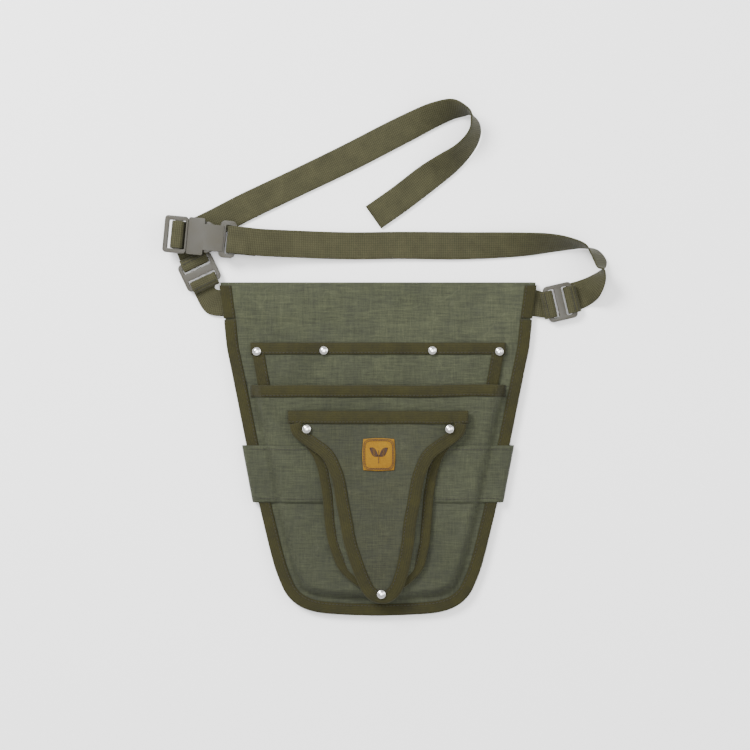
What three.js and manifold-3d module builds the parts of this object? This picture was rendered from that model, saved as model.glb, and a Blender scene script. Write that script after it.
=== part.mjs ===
import * as THREE from "three";
import { mergeVertices } from "three/addons/utils/BufferGeometryUtils.js";
import Module from "manifold-3d";

// Garden tool bag lying on its back. Millimetres, +Z up from the floor, +Y towards the belt.
const WEB = 25;
const WEB_T = 1.5;
const CLOTH = 1.0;
const BIND = 0.8;
const GAP = 0.3;
const BIND_W = 11;
const BODY_Z = 4.5;
const EDGE_Z = 5.8;
const MOUTH_RISE = 12;
const POCKET_RISE = 8;
const UPPER_Z = 6.9;
const UPPER_BULGE = 6;
const TUNNEL_TOP = 18.4;
const TUNNEL_END = -17;
const BAND_TOP = -132;
const BAND_END = -184.5;
const BACK_Z = 17.5;
const WING_Z = 21.0;
const FRONT_Z = 25.8;
const RIVET_D = 8;

const wasm = await Module();
wasm.setup();
const { Manifold, Mesh } = wasm;

const COLOURS = {
  canvas: 0x5d624e,
  binding: 0x4f4b33,
  webbing: 0x65614c,
  plastic: 0x76705e,
  nickel: 0xc8c8c4,
  patch: 0xb08a3a,
};

const group = new THREE.Group();
group.name = "garden_tool_bag";

function add(name, geometry, colour) {
  const material = new THREE.MeshStandardMaterial({ color: COLOURS[colour] });
  material.name = colour;
  const mesh = new THREE.Mesh(geometry, material);
  mesh.name = name;
  group.add(mesh);
}

function lerp(a, b, t) {
  return a + (b - a) * t;
}

function smooth(t) {
  const c = Math.min(1, Math.max(0, t));
  return c * c * (3 - 2 * c);
}

// Reads a height-ordered list of [y, value] pairs, falling y first.
function along(table, y) {
  if (y >= table[0][0]) {
    return table[0][1];
  }
  for (let i = 1; i < table.length; i++) {
    if (y >= table[i][0]) {
      return lerp(table[i - 1][1], table[i][1], (table[i - 1][0] - y) / (table[i - 1][0] - table[i][0]));
    }
  }
  return table[table.length - 1][1];
}

// Closed body from rings of points; caps lists the end faces as index quads or triangles.
function loft(rings, caps, looped) {
  const n = rings[0].length;
  const positions = rings.flat().flat();
  const index = [];
  const last = looped ? rings.length : rings.length - 1;
  for (let i = 0; i < last; i++) {
    const j = (i + 1) % rings.length;
    for (let k = 0; k < n; k++) {
      const m = (k + 1) % n;
      index.push(i * n + k, i * n + m, j * n + m);
      index.push(i * n + k, j * n + m, j * n + k);
    }
  }
  if (!looped) {
    const base = (rings.length - 1) * n;
    for (const face of caps) {
      for (let k = 1; k < face.length - 1; k++) {
        index.push(face[0], face[k + 1], face[k]);
        index.push(base + face[0], base + face[k], base + face[k + 1]);
      }
    }
  }
  return outward(positions, index);
}

// Turns the faces outward when the signed volume comes out negative.
function outward(positions, index) {
  const a = new THREE.Vector3();
  const b = new THREE.Vector3();
  const c = new THREE.Vector3();
  let volume = 0;
  for (let i = 0; i < index.length; i += 3) {
    a.fromArray(positions, index[i] * 3);
    b.fromArray(positions, index[i + 1] * 3);
    c.fromArray(positions, index[i + 2] * 3);
    volume += a.dot(b.cross(c));
  }
  if (volume < 0) {
    index.reverse();
  }
  const geometry = new THREE.BufferGeometry();
  geometry.setAttribute("position", new THREE.Float32BufferAttribute(positions, 3));
  geometry.setIndex(index);
  return geometry;
}

const QUAD = [[0, 1, 2, 3]];
const CHANNEL = [[0, 1, 14, 15], [1, 2, 13, 14], [2, 3, 12, 13], [3, 4, 11, 12],
  [4, 5, 10, 11], [5, 6, 9, 10], [6, 7, 8, 9]];

// Column places across a cloth row, closer together where the cloth climbs from its edge.
function columnsAcross(h) {
  const k = Math.min(1, h / 60);
  const side = [0, 6, 12.5, 15.2, 17.2, 19.2, 21.2, 23.2, 26].map((v) => h - v * k);
  const inner = side[side.length - 1];
  const middle = [];
  for (let i = 1; i < 10; i++) {
    middle.push(inner * (1 - i / 5));
  }
  return [...side, ...middle, ...side.map((v) => -v).reverse()].reverse();
}

function evenColumns(count) {
  return (h) => Array.from({ length: count + 1 }, (_, i) => h * (2 * i / count - 1));
}

// Cloth sheet of even thickness: rows down y, columns across, underside height from rise(x, y).
function cloth(ys, half, centre, rise, columns) {
  const count = columns(half(ys[0])).length - 1;
  const caps = [];
  for (let i = 0; i < count; i++) {
    caps.push([i, i + 1, 2 * count - i, 2 * count + 1 - i]);
  }
  const rings = ys.map((y) => {
    const row = columns(half(y)).map((v) => [centre(y) + v, y, rise(centre(y) + v, y)]);
    const upper = row.map(([x, yy, z]) => [x, yy, z + CLOTH]).reverse();
    return [...row, ...upper];
  });
  return loft(rings, caps, false);
}

// Binding folded over a cloth edge: path is the folded outer line, inward points into the cloth.
function binding(path, width, under, over) {
  const insets = [width, width * 2 / 3, width / 3];
  const rings = path.map(([x, y, ix, iy]) => {
    const at = (s) => [x + ix * s, y + iy * s];
    const level = (s, f, d) => [...at(s), f(...at(Math.max(s, BIND))) + d];
    return [
      ...insets.map((s) => level(s, over, GAP + BIND)), level(0, over, GAP + BIND),
      level(0, under, -GAP - BIND), ...insets.slice().reverse().map((s) => level(s, under, -GAP - BIND)),
      ...insets.map((s) => level(s, under, -GAP)), level(BIND, under, -GAP),
      level(BIND, over, GAP), ...insets.slice().reverse().map((s) => level(s, over, GAP)),
    ];
  });
  return loft(rings, CHANNEL, false);
}

// Adds the inward direction to each point of an open path.
function withInward(points, side) {
  return points.map(([x, y], i) => {
    const p = points[Math.max(0, i - 1)];
    const q = points[Math.min(points.length - 1, i + 1)];
    const dx = q[0] - p[0];
    const dy = q[1] - p[1];
    const l = Math.hypot(dx, dy);
    return [x, y, -dy / l * side, dx / l * side];
  });
}

// Flat webbing through edge stations [x1, y1, z1, x2, y2, z2].
function ribbon(stations, thickness, steps) {
  const first = new THREE.CatmullRomCurve3(stations.map((s) => new THREE.Vector3(s[0], s[1], s[2])));
  const second = new THREE.CatmullRomCurve3(stations.map((s) => new THREE.Vector3(s[3], s[4], s[5])));
  const count = (stations.length - 1) * steps;
  const a = [];
  const b = [];
  for (let i = 0; i <= count; i++) {
    a.push(first.getPoint(i / count));
    b.push(second.getPoint(i / count));
  }
  const rings = a.map((p, i) => {
    const q = b[i];
    const i0 = Math.max(0, i - 1);
    const i1 = Math.min(count, i + 1);
    const run = a[i1].clone().add(b[i1]).sub(a[i0]).sub(b[i0]).normalize();
    const wide = q.clone().sub(p);
    const n = new THREE.Vector3().crossVectors(run, wide).normalize().multiplyScalar(thickness / 2);
    return [
      p.clone().add(n).toArray(), q.clone().add(n).toArray(),
      q.clone().sub(n).toArray(), p.clone().sub(n).toArray(),
    ];
  });
  return loft(rings, QUAD, false);
}

// Edge pair for webbing standing partly on edge; the first edge is raised by the missing width.
function station(x1, y1, x2, y2, low) {
  const flat = Math.hypot(x1 - x2, y1 - y2);
  const lift = Math.sqrt(Math.max(0, WEB * WEB - flat * flat));
  return [x1, y1, low + lift, x2, y2, low];
}

function plate(shape, z0, thickness) {
  const geometry = new THREE.ExtrudeGeometry(shape, { depth: thickness, bevelEnabled: false, curveSegments: 6 });
  geometry.translate(0, 0, z0);
  geometry.deleteAttribute("uv");
  geometry.deleteAttribute("normal");
  return mergeVertices(geometry, 0.001);
}

function roundRect(x0, y0, x1, y1, r) {
  const points = [];
  const corners = [[x1 - r, y0 + r, -90], [x1 - r, y1 - r, 0], [x0 + r, y1 - r, 90], [x0 + r, y0 + r, 180]];
  for (const [cx, cy, from] of corners) {
    for (let i = 0; i <= 4; i++) {
      const t = (from + 22.5 * i) * Math.PI / 180;
      points.push(new THREE.Vector2(cx + r * Math.cos(t), cy + r * Math.sin(t)));
    }
  }
  const shape = new THREE.Shape(points);
  return shape;
}

function toManifold(geometry) {
  const mesh = new Mesh({
    numProp: 3,
    vertProperties: new Float32Array(geometry.getAttribute("position").array),
    triVerts: new Uint32Array(geometry.getIndex().array),
  });
  mesh.merge();
  return new Manifold(mesh);
}

function fromManifold(solid) {
  const mesh = solid.getMesh();
  const geometry = new THREE.BufferGeometry();
  geometry.setAttribute("position", new THREE.Float32BufferAttribute(mesh.vertProperties, 3));
  geometry.setIndex([...mesh.triVerts]);
  return geometry;
}

// Rounded plate with slots cut through it.
function slotted(outer, slots, z0, thickness) {
  let solid = toManifold(plate(roundRect(...outer), z0, thickness));
  for (const slot of slots) {
    solid = solid.subtract(toManifold(plate(roundRect(...slot), z0 - 1, thickness + 2)));
  }
  return solid;
}

function placed(geometry, place) {
  geometry.rotateZ(place[2]);
  geometry.translate(place[0], place[1], 0);
  return geometry;
}

// ---------- Outline of the bag ----------

const OUTLINE = [
  [18.4, 146.7], [17.5, 146.7], [-16.6, 142.1], [-44.2, 139.4], [-53.4, 137.1], [-71.8, 133.4],
  [-90.2, 129.7], [-127, 122.4], [-191.4, 108.6], [-228.2, 99.8], [-246.6, 94.8], [-255.8, 91.1],
  [-265, 87.4], [-270, 84.6], [-274.2, 81], [-278, 76.6], [-281, 72], [-283.4, 66.7], [-285.4, 60],
  [-287, 51.5], [-288.4, 30], [-289.3, 0],
];
const half = (y) => along(OUTLINE, y);

// The outline moved inward along its normals, as a table of the same form.
function shrunk(amount) {
  const points = OUTLINE.slice(2);
  return points.map(([y, h], i) => {
    const p = points[Math.max(0, i - 1)];
    const q = points[Math.min(points.length - 1, i + 1)];
    const dx = q[1] - p[1];
    const dy = q[0] - p[0];
    const l = Math.hypot(dx, dy);
    return [y - dx / l * amount, Math.max(0, h + dy / l * amount)];
  });
}

const CUT = shrunk(BIND + GAP + 0.1);
const cutHalf = (y) => along(CUT, y);

function outlinePath() {
  const right = OUTLINE.slice(2).map(([y, h]) => [h, y]);
  const left = OUTLINE.slice(2, -1).map(([y, h]) => [-h, y]).reverse();
  const path = [...right, ...left];
  const fine = [path[0]];
  for (let i = 1; i < path.length; i++) {
    const steps = Math.ceil(Math.hypot(path[i][0] - path[i - 1][0], path[i][1] - path[i - 1][1]) / 16);
    for (let k = 1; k <= steps; k++) {
      fine.push([lerp(path[i - 1][0], path[i][0], k / steps), lerp(path[i - 1][1], path[i][1], k / steps)]);
    }
  }
  return fine;
}

// Distance from the bag's outer edge, positive inside.
function inset(x, y) {
  let best = 1e9;
  const path = OUTLINE.slice(2).map(([yy, h]) => [h, yy]);
  const ax = Math.abs(x);
  for (let i = 1; i < path.length; i++) {
    const [x0, y0] = path[i - 1];
    const [x1, y1] = path[i];
    const dx = x1 - x0;
    const dy = y1 - y0;
    const t = Math.min(1, Math.max(0, ((ax - x0) * dx + (y - y0) * dy) / (dx * dx + dy * dy)));
    best = Math.min(best, Math.hypot(ax - x0 - t * dx, y - y0 - t * dy));
  }
  return ax > half(y) ? -best : best;
}

// ---------- Heights of the cloth layers ----------

const mouthRise = (y) => lerp(POCKET_RISE, MOUTH_RISE, smooth((y + 125) / 48));
const mainUnder = (x, y) => EDGE_Z + mouthRise(y) * smooth((inset(x, y) - 14) / 10);
const SEAMS = [-111, -50, 50, 111];

function upperUnder(x, y) {
  let bulge = 0;
  for (let i = 1; i < SEAMS.length; i++) {
    if (x > SEAMS[i - 1] && x < SEAMS[i]) {
      bulge = Math.sin(Math.PI * (x - SEAMS[i - 1]) / (SEAMS[i] - SEAMS[i - 1])) ** 2;
    }
  }
  return UPPER_Z + UPPER_BULGE * bulge * smooth((y + 120) / 82);
}

function rows(from, to, step) {
  const count = Math.ceil((from - to) / step);
  return Array.from({ length: count + 1 }, (_, i) => lerp(from, to, i / count));
}

// ---------- Body, tunnel and bindings ----------

function bodyPanel() {
  const top = BODY_Z + CLOTH;
  const rings = [];
  const ring = (y, zOuter, yIn, zInner) => {
    const a = y > TUNNEL_END + 1 ? half(Math.min(y, TUNNEL_TOP)) - BIND - GAP : cutHalf(y);
    rings.push([[-a, y, zOuter], [a, y, zOuter], [a, yIn, zInner], [-a, yIn, zInner]]);
  };
  for (const y of [TUNNEL_END, -6, 6, TUNNEL_TOP - top / 2]) {
    ring(y, 0, y, CLOTH);
  }
  for (let i = 1; i < 8; i++) {
    const t = Math.PI * i / 8 - Math.PI / 2;
    const yc = TUNNEL_TOP - top / 2;
    const r = top / 2 - CLOTH;
    ring(yc + Math.cos(t) * top / 2, top / 2 + Math.sin(t) * top / 2, yc + Math.cos(t) * r, top / 2 + Math.sin(t) * r);
  }
  for (const y of [TUNNEL_TOP - top / 2, 6, -6, -15, ...CUT.slice(0, -1).map((p) => p[0])]) {
    ring(y, top, y, BODY_Z);
  }
  add("body_panel", loft(rings, QUAD, false), "canvas");
}

function outerBinding() {
  const over = (x, y) => lerp(BODY_Z + CLOTH, EDGE_Z + CLOTH, smooth((-66 - y) / 7));
  add("outer_binding", binding(withInward(outlinePath(), -1), BIND_W, () => BODY_Z, over), "binding");
}

// Short folded tape closing each side of the belt tunnel's front edge.
function tunnelBindings() {
  for (const [name, s] of [["tunnel_binding_left", -1], ["tunnel_binding_right", 1]]) {
    const path = rows(TUNNEL_TOP - 3.4, TUNNEL_END + 2.2, 6).map((y) => [s * half(y), y, -s, 0]);
    add(name, binding(path, BIND_W, () => BODY_Z, () => BODY_Z + CLOTH), "binding");
  }
}

// ---------- Pockets ----------

const UPPER_HALF = [[-38.4, 116.4], [-75, 110], [-100, 104], [-160, 91]];

function upperPocket() {
  const h = (y) => along(UPPER_HALF, y);
  const ys = rows(-38.4, -160, 11);
  add("upper_pocket_panel", cloth(ys, h, () => 0, upperUnder, evenColumns(30)), "canvas");
  const over = (x, y) => upperUnder(x, y) + CLOTH;
  const top = [];
  for (let i = 0; i <= 40; i++) {
    top.push([lerp(117.5, -117.5, i / 40), -37.3, 0, -1]);
  }
  const topUnder = (x, y) => upperUnder(x, y) - 0.15;
  const topOver = (x, y) => over(x, y) + 0.15;
  add("upper_pocket_top_binding", binding(top, BIND_W, topUnder, topOver), "binding");
  for (const [name, s] of [["upper_pocket_binding_left", -1], ["upper_pocket_binding_right", 1]]) {
    const path = rows(-48.7, -98, 6).map((y) => [s * (h(y) + BIND + GAP), y, -s, 0]);
    add(name, binding(path, BIND_W, () => UPPER_Z, over), "binding");
  }
}

function mainPocket() {
  const ys = [...rows(-77.5, -247, 10), -254, -260, -263, -265.5, -268, -270.5, -273, -275.5, -278, -281,
    -284, -286, -287.2];
  add("main_pocket_panel", cloth(ys, cutHalf, () => 0, mainUnder, columnsAcross), "canvas");
  const reach = half(-82) - 26;
  const top = [];
  for (let i = 0; i <= 12; i++) {
    top.push([lerp(reach, -reach, i / 12), -76.4, 0, -1]);
  }
  add("main_pocket_top_binding", binding(top, BIND_W, mainUnder, (x, y) => mainUnder(x, y) + CLOTH), "binding");
}

// Wide cloth band running round the front and back of the bag.
function wrapBand() {
  const ys = rows(BAND_TOP, BAND_END, 11);
  const reach = (y) => lerp(125.6, 115.7, (BAND_TOP - y) / (BAND_TOP - BAND_END));
  const level = (x, y) => Math.max(mainUnder(x, y) + CLOTH + GAP, EDGE_Z + CLOTH + 2 * GAP + BIND);
  const turn = (EDGE_Z + CLOTH + 2 * GAP + BIND - CLOTH) / 2;
  const rings = [];
  const push = (point) => {
    const outer = ys.map((y) => point(y, CLOTH));
    const inner = ys.map((y) => point(y, 0)).reverse();
    rings.push([...outer, ...inner]);
  };
  const side = (s, a) => push((y, t) => [
    s * (reach(y) - 4.4 + (3.4 + t) * Math.sin(a)), y, turn + CLOTH + (turn + t) * Math.cos(a),
  ]);
  const count = columnsAcross(100).length;
  for (let i = 0; i < count; i++) {
    push((y, t) => {
      const x = columnsAcross(cutHalf(y))[i];
      return [x, y, level(x, y) + t];
    });
  }
  for (let i = 0; i <= 8; i++) {
    side(1, Math.PI * i / 8);
  }
  for (let i = 8; i >= 0; i--) {
    side(-1, Math.PI * i / 8);
  }
  add("wrap_band", loft(rings, [], true), "canvas");
}

// ---------- Tool holster ----------

const BACK_HALF = [[-101, 80], [-120, 79], [-131, 68], [-140, 60], [-154, 55], [-176, 51], [-203, 49],
  [-220, 47], [-246, 39.5], [-259, 26], [-264, 18]];
const FRONT_HALF = [[-99.8, 82.6], [-121, 80], [-126, 75], [-131.6, 67], [-143, 50], [-162, 42], [-184, 38.5],
  [-203, 34.6], [-220, 32.5], [-246, 26], [-265, 19], [-272, 13.5], [-276.4, 6]];
const lean = (y) => lerp(0, 3.5, smooth((-200 - y) / 70));

function frontUnder(x, y) {
  const across = smooth((70 - Math.abs(x - lean(y))) / 26);
  const wing = y > -156 ? lerp(1, across, smooth((y + 156) / 30)) : 1;
  const tip = smooth((y + 268) / 44);
  return lerp(WING_Z, FRONT_Z, wing * tip);
}

function holster() {
  const backHalf = (y) => along(BACK_HALF, y) - BIND - GAP - 1.2;
  add("holster_back_panel", cloth(rows(-101, -262, 8), backHalf, lean, () => BACK_Z, evenColumns(2)), "canvas");
  const sides = { left: -1, right: 1 };
  for (const [side, s] of Object.entries(sides)) {
    const path = rows(-133, -258, 7).map((y) => [lean(y) + s * along(BACK_HALF, y), y]);
    const shaped = withInward(path, -s);
    add(`holster_rear_binding_${side}`, binding(shaped, 9.5, () => BACK_Z, () => BACK_Z + CLOTH), "binding");
  }
  const frontHalf = (y) => along(FRONT_HALF, y) - BIND - GAP - (y < -112 ? 2.4 : 0);
  add("holster_front_panel", cloth(rows(-100.9, -274, 6), frontHalf, lean, frontUnder, evenColumns(18)), "canvas");
  const over = (x, y) => frontUnder(x, y) + CLOTH + 0.35;
  const under = (x, y) => frontUnder(x, y) - 0.35;
  const top = [];
  for (let i = 0; i <= 30; i++) {
    top.push([lerp(82.6, -82.6, i / 30), -99.8, 0, -1]);
  }
  add("holster_top_binding", binding(top, BIND_W + 1, under, over), "binding");
  for (const [side, s] of Object.entries(sides)) {
    const path = rows(-117, -260, 6).map((y) => [lean(y) + s * along(FRONT_HALF, y), y]);
    const shaped = withInward(path, -s);
    add(`holster_front_binding_${side}`, binding(shaped, BIND_W, under, over), "binding");
    const wall = rows(-146, -250, 7).map((y) => {
      const bottom = lean(y) + s * (along(BACK_HALF, y) - 6);
      const high = lean(y) + s * (along(FRONT_HALF, y) - 3);
      const top = frontUnder(high, y) - GAP - BIND - 0.8;
      return [bottom, y, BACK_Z + CLOTH + GAP + BIND + 0.6, high, y, top];
    });
    add(`holster_gusset_${side}`, ribbon(wall, CLOTH * 0.6, 2), "canvas");
  }
}

// ---------- Rivets and patch ----------

function dome(name, x, y, z) {
  const rings = [];
  for (const [r, h] of [[4, 0], [4, 0.6], [3.3, 1.7], [1.8, 2.3], [0.3, 2.5]]) {
    const ring = [];
    for (let i = 0; i < 16; i++) {
      const a = Math.PI * i / 8;
      ring.push([x + r * RIVET_D / 8 * Math.cos(a), y + r * RIVET_D / 8 * Math.sin(a), z + h]);
    }
    rings.push(ring);
  }
  add(name, loft(rings, [rings[0].map((_, i) => i)], false), "nickel");
}

function trim() {
  const stack = CLOTH + 2 * GAP + BIND + 0.45;
  const spots = [[-111.6, -45.5], [-50, -44.7], [50, -44.7], [111.6, -45.5]];
  spots.forEach(([x, y], i) => dome(`rivet_pocket_${i + 1}`, x, y, UPPER_Z + stack + 0.5));
  const wing = frontUnder(61.5, -112) + stack + 0.3;
  dome("rivet_holster_left", -65.2, -116.5, wing);
  dome("rivet_holster_right", 65.2, -116.5, wing);
  dome("rivet_holster_tip", 3, -267.5, frontUnder(3, -262) + stack);
  const shape = roundRect(-15, -15, 15, 15, 3);
  add("maker_patch", placed(plate(shape, FRONT_Z + CLOTH + GAP, 1), [0.6, -139.8, 0]), "patch");
}

// ---------- Belt ----------

const BUCKLE = [-163.8, 59.8, -5.5 * Math.PI / 180];
const BUCKLE_Z = 13.2;
const BUCKLE_RAISE = BUCKLE_Z - 9.5;
const SLIDER_RIGHT = [168, 0, 13 * Math.PI / 180];
const SLIDER_LEFT = [-164.7, 27.6, -64.4 * Math.PI / 180];
const LOW_Z = 2.15;
const OVER_Z = 7.65;

// Local x along the strap, y across it; returns a flat edge pair at that place.
function across(place, x, z, width) {
  const c = Math.cos(place[2]);
  const s = Math.sin(place[2]);
  const w = (width || WEB) / 2;
  return [
    place[0] + x * c - w * s, place[1] + x * s + w * c, z,
    place[0] + x * c + w * s, place[1] + x * s - w * c, z,
  ];
}

// Webbing that comes in low, passes up through a slot, over the outer bar and back onto itself.
function barLoop(place, side, run) {
  const profile = [[18, LOW_Z], [12, LOW_Z], [8, LOW_Z], [6.4, 2.9], [5.9, 4.9], [6.4, 6.9], [8, OVER_Z],
    [11.5, OVER_Z], [13.6, 7.4], [15.4, 6.2], [16.8, 5.0]];
  return profile.slice(run ? 0 : 1).map(([x, z]) => across(place, side * x, z));
}

function slider(name, place) {
  const slots = [[-9, -13.2, -3.5, 13.2, 1], [3.5, -13.2, 9, 13.2, 1]];
  const solid = slotted([-13.5, -16.8, 13.5, 16.8, 4], slots, 3.7, 2.7);
  add(name, placed(fromManifold(solid), place), "plastic");
}

function belts() {
  const right = barLoop(SLIDER_RIGHT, -1, false);
  const inside = [[-80, LOW_Z], [-40, LOW_Z], [0, LOW_Z], [60, LOW_Z], [120, LOW_Z], [142, LOW_Z]]
    .map(([x, z]) => [x, 12.1, z, x, -12.9, z]);
  add("tunnel_webbing", ribbon([...inside, ...right], WEB_T, 3), "webbing");
  const leftLoop = barLoop(SLIDER_LEFT, 1, true);
  const entry = [[-81, 12.1, LOW_Z, -81, -12.9, LOW_Z], [-134, 12.1, LOW_Z, -136, -12.9, LOW_Z],
    [-150.6, 12.6, LOW_Z, -158, -10, LOW_Z]];
  const turned = leftLoop.map(([a, b, c, d, e, f]) => (a > d ? [a, b, c, d, e, f] : [d, e, f, a, b, c]));
  add("left_loop_webbing", ribbon([...entry, ...turned.slice(1)], WEB_T, 3), "webbing");
  slider("slider_right", SLIDER_RIGHT);
  slider("slider_left", SLIDER_LEFT);
}

function longWebbing() {
  const low = 1.4;
  const start = barLoop(SLIDER_RIGHT, 1, false).reverse().slice(0, -1);
  const rise = [
    station(183.1, -8.3, 174.8, 16.6, low), station(194.6, -3.2, 183.1, 19.3, low),
    station(203.3, 5.1, 190.4, 21.6, low), station(207.9, 20.2, 198.7, 25.3, low),
    station(206.1, 29.4, 206.1, 29.3, low), station(200.6, 31.3, 210.5, 33.1, low),
    station(197.3, 37.7, 210.7, 38.6, low), station(194.6, 43.2, 203.3, 47.8, low),
    station(189.5, 52, 189.7, 50.1, low), station(173, 59.1, 179.4, 49, low),
    station(156.4, 62.2, 161.6, 46.6, low), station(133.4, 63.5, 135.2, 42.8, low),
    [80, 64.6, 4.2, 80, 39.6, 2.4], [20, 65, 3.4, 20, 40, 3.4], [-26, 64.5, 4.5, -26, 39.5, 4.5],
    [-80, 66, 9, -80, 41, 9],
  ];
  const over = [[54, 12.4], [42, 15.4], [34, 15.6], [29.4, 15.4], [26.6, 14.2], [25.9, 11.5], [25.9, 8.5],
    [26.6, 4.6], [29.4, 3.2], [36, 3.1], [52, 3.0]].map(([x, z]) => across(BUCKLE, x, z + BUCKLE_RAISE));
  const flat = start.map(([a, b, c, d, e, f]) => [d, e, f, a, b, c]);
  add("belt_webbing", ribbon([...flat, ...rise, ...over], WEB_T, 3), "webbing");
}

function buckle() {
  const block = slotted([-10.9, -17, 4, 17, 1.5], [], BUCKLE_Z - 4.6, 9.2);
  const waist = slotted([2, -12, 22, 12, 1], [], BUCKLE_Z - 4.6, 9.2);
  const end = slotted([18.6, -17, 33, 17, 4], [[23.6, -13.2, 28.2, 13.2, 1]], BUCKLE_Z - 3.4, 6.8);
  const cavity = slotted([-12, -14.6, 4.2, 14.6, 0.5], [], BUCKLE_Z - 3, 6);
  const windows = slotted([3.9, -20, 18.4, 20, 0.5], [], BUCKLE_Z - 3, 6);
  const female = block.add(waist).add(end).subtract(cavity).subtract(windows);
  add("buckle_female", placed(fromManifold(female), BUCKLE), "plastic");
  const slots = [[-28.9, -13.2, -23.3, 13.2, 1], [-17.6, -13.2, -13.2, 13.2, 1]];
  const frame = slotted([-33, -17, -11.3, 17, 3], slots, BUCKLE_Z - 3, 6);
  const tongue = slotted([-12.5, -2.6, 14, 2.6, 1], [], BUCKLE_Z - 2, 4);
  add("buckle_male", placed(fromManifold(frame.add(tongue)), BUCKLE), "plastic");
  const outline = [[-10.9, 8], [4.4, 8.2], [12.5, 5], [16.6, 4.6], [17.6, 6.4], [14, 11.5], [8, 14.6],
    [4.8, 14.4], [4.6, 12.4], [0, 11.6], [-10.9, 13]];
  for (const [name, s] of [["latch_arm_upper", 1], ["latch_arm_lower", -1]]) {
    const shape = new THREE.Shape(outline.map(([x, y]) => new THREE.Vector2(x, y * s)));
    add(name, placed(plate(shape, BUCKLE_Z - 2.2, 4.4), BUCKLE), "plastic");
  }
}

// Short strap from the left slider to the buckle, its turn round the middle bar, and the free tail.
function shortStraps() {
  const loop = barLoop(SLIDER_LEFT, -1, false).reverse();
  const ordered = loop.map(([a, b, c, d, e, f]) => (a < d ? [a, b, c, d, e, f] : [d, e, f, a, b, c]));
  const behind = [[-185, 44, 2.9, -163.5, 53.5, 2.9], [-188.5, 54, 3.55, -166.5, 60.5, 3.55],
    [-190, 64, 3.55, -168, 64.5, 3.55]];
  add("short_strap", ribbon([...ordered.slice(0, -1), ...behind], WEB_T, 3), "webbing");
  const wrap = [[-15.2, 7.2], [-15.5, 10], [-15.9, 12.4], [-17.4, 13.9], [-20.4, 14.1], [-23.2, 13.9],
    [-25.1, 12.4], [-25.7, 10], [-25.7, 6.6], [-25, 4.8], [-23, 4.0], [-16, 4.0], [-8, 3.9], [2, 3.4]];
  add("ladder_wrap", ribbon(wrap.map(([x, z]) => across(BUCKLE, x, z + BUCKLE_RAISE)), WEB_T, 3), "webbing");
}

function tail() {
  const low = 1.55;
  const stations = [
    [-178, 74.5, 1.05, -167, 51.5, 1.05], [-158, 84, 1.15, -147, 61.3, 1.15], [-127, 99.9, low, -115.9, 77, low], [-80, 122, low, -69, 99.5, low],
    [-35, 143.9, low, -23, 121.4, low], station(20.2, 171.6, 30.4, 149, low),
    station(49.7, 182.9, 58, 163.8, low), station(68.1, 185.4, 70.8, 169.7, low),
    station(78.2, 180.3, 79.6, 172, low), station(84.6, 173.4, 84.7, 173.3, low),
    station(84.9, 166.5, 92.5, 167, low), station(83.7, 158.2, 95, 158.2, low),
    station(79.1, 150.9, 92.5, 147.2, low), station(69, 142.1, 84.6, 134.3, low),
    station(58, 136.2, 71.8, 120.5, low), station(38.6, 125.1, 53.4, 105.3, low),
    [14, 106.5, 1.8, 28.6, 86.2, 1.8], [-11.5, 88.5, 1.6, 2.9, 68.1, 1.6],
  ];
  add("tail_strap", ribbon(stations, WEB_T, 3), "webbing");
}

bodyPanel();
outerBinding();
tunnelBindings();
upperPocket();
mainPocket();
wrapBand();
holster();
trim();
belts();
longWebbing();
buckle();
shortStraps();
tail();

export default group;
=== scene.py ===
"""Garden tool bag: waxed canvas pouch with bound pockets, riveted holster and a webbing belt."""
import math
import bpy
import numpy as np
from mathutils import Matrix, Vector, noise


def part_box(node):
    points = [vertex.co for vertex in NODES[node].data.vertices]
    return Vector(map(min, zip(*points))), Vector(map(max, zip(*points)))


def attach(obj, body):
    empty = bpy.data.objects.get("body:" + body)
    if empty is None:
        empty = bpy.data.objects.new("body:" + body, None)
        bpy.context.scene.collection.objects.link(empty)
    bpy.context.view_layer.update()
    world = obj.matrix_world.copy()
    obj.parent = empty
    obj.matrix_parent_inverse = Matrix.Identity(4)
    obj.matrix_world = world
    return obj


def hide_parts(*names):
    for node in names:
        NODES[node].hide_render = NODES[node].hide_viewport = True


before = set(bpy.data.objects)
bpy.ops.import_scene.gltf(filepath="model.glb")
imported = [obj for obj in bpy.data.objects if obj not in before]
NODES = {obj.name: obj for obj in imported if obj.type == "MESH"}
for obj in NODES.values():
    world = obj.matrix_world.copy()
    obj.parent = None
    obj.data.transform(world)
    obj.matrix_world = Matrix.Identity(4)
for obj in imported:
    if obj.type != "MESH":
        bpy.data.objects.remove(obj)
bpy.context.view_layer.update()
MM = 0.001

# Layer heights and widths of the model, in millimetres.
WEB, WEB_T, CLOTH, BIND, GAP = 25.0, 1.5, 1.0, 0.8, 0.3
BODY_Z, EDGE_Z, UPPER_Z = 4.5, 5.8, 6.9
BACK_Z, WING_Z, FRONT_Z = 17.5, 21.0, 25.8
LOW_Z, OVER_Z, BUCKLE_Z = 2.15, 7.65, 13.2
BUCKLE_RAISE = BUCKLE_Z - 9.5
BIND_W = 11.0
TUNNEL_TOP, TUNNEL_END = 18.4, -17.0
BAND_TOP, BAND_END = -132.0, -184.5
# Half width of the wrap band at its two edges, and how its sides turn under the bag.
BAND_REACH_TOP, BAND_REACH_END = 125.6, 115.7
BAND_FLAT, BAND_BULGE = 4.4, 3.9
# Height of the floor, in metres.
FLOOR_Z = -0.0006


# ---------- Camera ----------

def make_camera():
    data = bpy.data.cameras.new("camera")
    data.sensor_width = 36
    data.lens = 36 * 2.0 / 0.69
    data.clip_end = 20
    cam = bpy.data.objects.new("camera", data)
    cam.location = (-0.0028, -0.0672, 2.01)
    bpy.context.scene.collection.objects.link(cam)
    bpy.context.scene.camera = cam


make_camera()


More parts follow.
